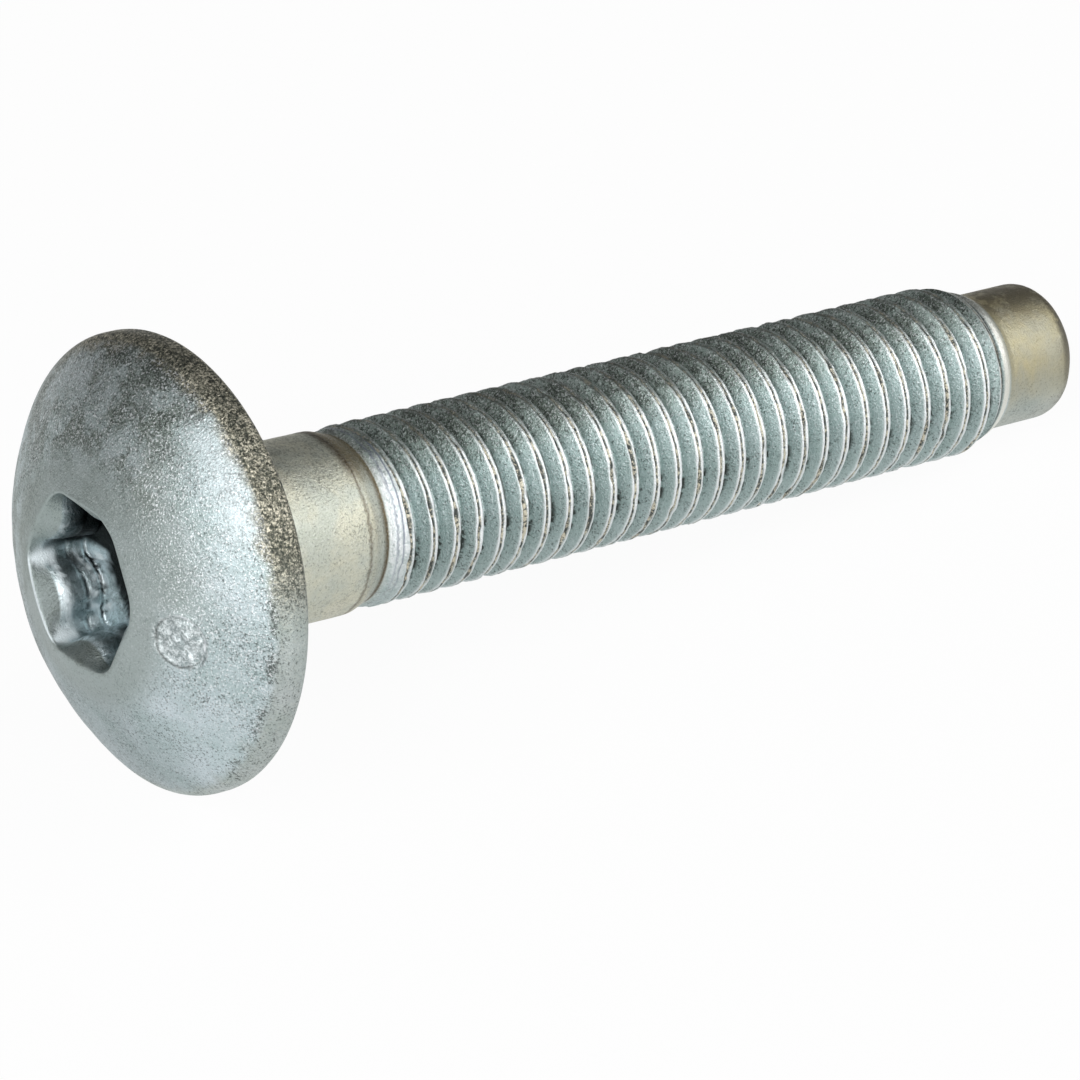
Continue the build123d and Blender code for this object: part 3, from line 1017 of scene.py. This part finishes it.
    def stamp(self):
        """A broken surface inside the stamp, and its rim, with a painted highlight on the one side, halfway
        between outward and back along the turn, and painted shade on the other: a peak in the distance from
        the stamp's middle, times a step along that direction."""
        dull = (0.22, 0.26, 0.26)
        struck = (0.84, 0.89, 0.90)
        glint = (0.93, 0.97, 1.0)
        outward = np.cos(STAMP_TURN) * up + np.sin(STAMP_TURN) * front
        round_turn = np.cos(STAMP_TURN) * front - np.sin(STAMP_TURN) * up
        lit_way = (outward - round_turn) / (np.sqrt(2) * STAMP_RADIUS * MM)
        middle = place(dome_run(STAMP_REACH), STAMP_REACH, STAMP_TURN)
        from_middle = self.vector("SUBTRACT", self.place, tuple(middle))
        reach = self.math("DIVIDE", self.vector("LENGTH", from_middle), MM)
        tilt = self.vector("DOT_PRODUCT", from_middle, tuple(lit_way))
        lit = self.times(self.peak(reach, STAMP_RADIUS + 0.03, 0.11), self.between(tilt, 0.45, 0.75))
        unlit = self.times(self.peak(reach, STAMP_RADIUS - 0.02, 0.10), self.between(tilt, 0.3, -0.3))
        broken = self.noise(0.26, detail=3.0, roughness=0.75, distortion=1.2, lift=13.0)
        broken = self.mix(self.between(broken, 0.44, 0.56), dull, struck)
        self.coat(self.times(self.zone("stamp"), 0.65), broken)
        self.coat(self.times(unlit, 0.7), DARK)
        self.coat(self.times(lit, 0.9), glint)

    def paint_light_and_shade(self):
        """Painted highlights of pale metal, and near-black painted shade in the hole, the fold and the
        crack.
        """
        highlight_white = (0.89, 0.97, 1.0)
        # near black for the painted shade
        hollow = (0.012, 0.015, 0.015)
        self.coat(self.zone("worn"), highlight_white)
        self.coat(self.zone("shade"), hollow)

    def metal(self):
        """The shader: metal, less so where a highlight is painted. Its roughness follows the grain, and is
        lower in the recess and on the lips. Its bumps are the sum of the fine noises, with the edge's specks
        sunk in."""
        worn = self.zone("worn")
        rough = self.between(self.grain, 0.3, 0.7, 0.42, 0.56)
        rough = self.less(rough, self.times(self.zone("recess"), 0.12))
        rough = self.less(rough, self.times(self.lip, 0.1))
        rough = self.plus(rough, self.times(worn, 0.12))
        height = self.plus(self.grain, self.times(self.fleck, 0.8))
        height = self.plus(height, self.times(self.crumb, 0.9))
        height = self.plus(height, self.times(self.speck, self.edge, -1.5))
        bump = self.add("ShaderNodeBump")
        bump.inputs["Strength"].default_value = 0.9
        bump.inputs["Distance"].default_value = 0.04 * MM
        self.link(height, bump.inputs["Height"])
        shader = self.add("ShaderNodeBsdfPrincipled")
        self.link(self.colour, shader.inputs["Base Color"])
        self.link(self.between(worn, 0.4, 1.0, 1.0, 0.35), shader.inputs["Metallic"])
        self.link(rough, shader.inputs["Roughness"])
        self.link(bump.outputs["Normal"], shader.inputs["Normal"])
        self.end("ShaderNodeOutputMaterial", shader)


def zinc_plating():
    """Dull clear zinc plating: a cool grey metal with a fine grain, brown and mottled where the plating is
    thin from use, with painted highlights and painted shade over it. Its groups of tones lie over each other
    in this order."""
    material = bpy.data.materials.new("zinc_plated_steel")
    n = Plating(material)
    n.broad_tones()
    n.head_edge()
    n.shoulder_end()
    n.soiling_and_shade()
    n.thread()
    n.thread_end()
    n.recess()
    n.stamp()
    n.paint_light_and_shade()
    n.metal()
    return material


# ---------------------------------------------------------------- studio


def pale_floor():
    """A wide level sheet under the bolt: a square about the origin at height 0. Seen directly it is all but
    white, mirrored it is part white card, and it keeps the bolt's shadow."""
    mesh = bpy.data.meshes.new("floor")
    half = FLOOR_WIDTH / 2
    sheet = [(-half, -half, 0), (half, -half, 0), (half, half, 0), (-half, half, 0)]
    mesh.from_pydata(sheet, [], [(0, 1, 2, 3)])
    material = bpy.data.materials.new("pale_floor")
    n = Nodes(material)
    card = n.shine("ShaderNodeBsdfDiffuse", (0.85, 0.85, 0.85))
    white = n.shine("ShaderNodeEmission", (1.0, 1.0, 1.0))
    path = n.add("ShaderNodeLightPath")
    seen = n.larger(path.outputs["Is Camera Ray"], path.outputs["Is Glossy Ray"])
    direct = n.times(path.outputs["Is Camera Ray"], SEEN_WHITE)
    mix = n.add("ShaderNodeMixShader")
    n.link(n.larger(direct, n.times(seen, MIRRORED_WHITE)), mix.inputs["Fac"])
    n.link(card.outputs["BSDF"], mix.inputs[1])
    n.link(white.outputs["Emission"], mix.inputs[2])
    n.end("ShaderNodeOutputMaterial", mix)
    mesh.materials.append(material)
    stand("floor", mesh)


def look(thing, direction):
    """Turns a lamp or a camera so that its -Z axis points in a direction, with its Y axis uppermost."""
    thing.rotation_mode = "QUATERNION"
    thing.rotation_quaternion = Vector(direction).to_track_quat("-Z", "Y")


def soft_lamp(name, towards, size, power):
    """A square soft box in one direction from the origin, turned to face it. Sizes in metres, power in
    watts."""
    light = bpy.data.lights.new(name, "AREA")
    light.shape = "SQUARE"
    light.size = size
    light.energy = power
    lamp = stand(name, light)
    direction = Vector(towards).normalized()
    lamp.location = direction * LAMP_DISTANCE
    look(lamp, -direction)


def studio():
    """Three soft boxes, to the left of the bolt, to its right and before it, in a dim grey room, which is
    white only where the camera sees it directly."""
    world = bpy.data.worlds.new("room")
    n = Nodes(world)
    background = n.shine("ShaderNodeBackground", (1.0, 1.0, 1.0))
    path = n.add("ShaderNodeLightPath")
    n.link(n.larger(path.outputs["Is Camera Ray"], ROOM_GREY), background.inputs["Strength"])
    n.end("ShaderNodeOutputWorld", background)
    bpy.context.scene.world = world
    soft_lamp("left_box", (-0.80, -0.31, 0.60), 0.45, 2.35)
    soft_lamp("right_box", (0.64, -0.50, 0.58), 0.45, 1.6)
    soft_lamp("front_box", (-0.06, -0.93, 0.36), 0.4, 1.3)


def camera():
    """Looks down along the bolt from the head's side, from far enough that the shank hardly narrows. The
    view is the heading and the drop as a unit vector, and the eye lies back along it from the aim."""
    data = bpy.data.cameras.new("camera")
    data.lens = LENS
    data.sensor_width = SENSOR_WIDTH
    data.clip_start = 0.01
    data.clip_end = 10.0
    level = np.array([np.sin(VIEW_HEADING), np.cos(VIEW_HEADING), 0.0])
    forward = np.cos(VIEW_DROP) * level - np.array([0.0, 0.0, np.sin(VIEW_DROP)])
    aim = bearing + (AIM_RUN * along - AIM_SINK * up) * MM
    view = stand("camera", data)
    view.location = aim - forward * VIEW_DISTANCE * MM
    look(view, forward)
    bpy.context.scene.camera = view


bpy.context.scene.view_settings.view_transform = "Standard"
bolt = build_bolt()
bolt.data.materials.append(zinc_plating())
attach(bolt, "root")
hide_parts(PIECE)
pale_floor()
studio()
camera()
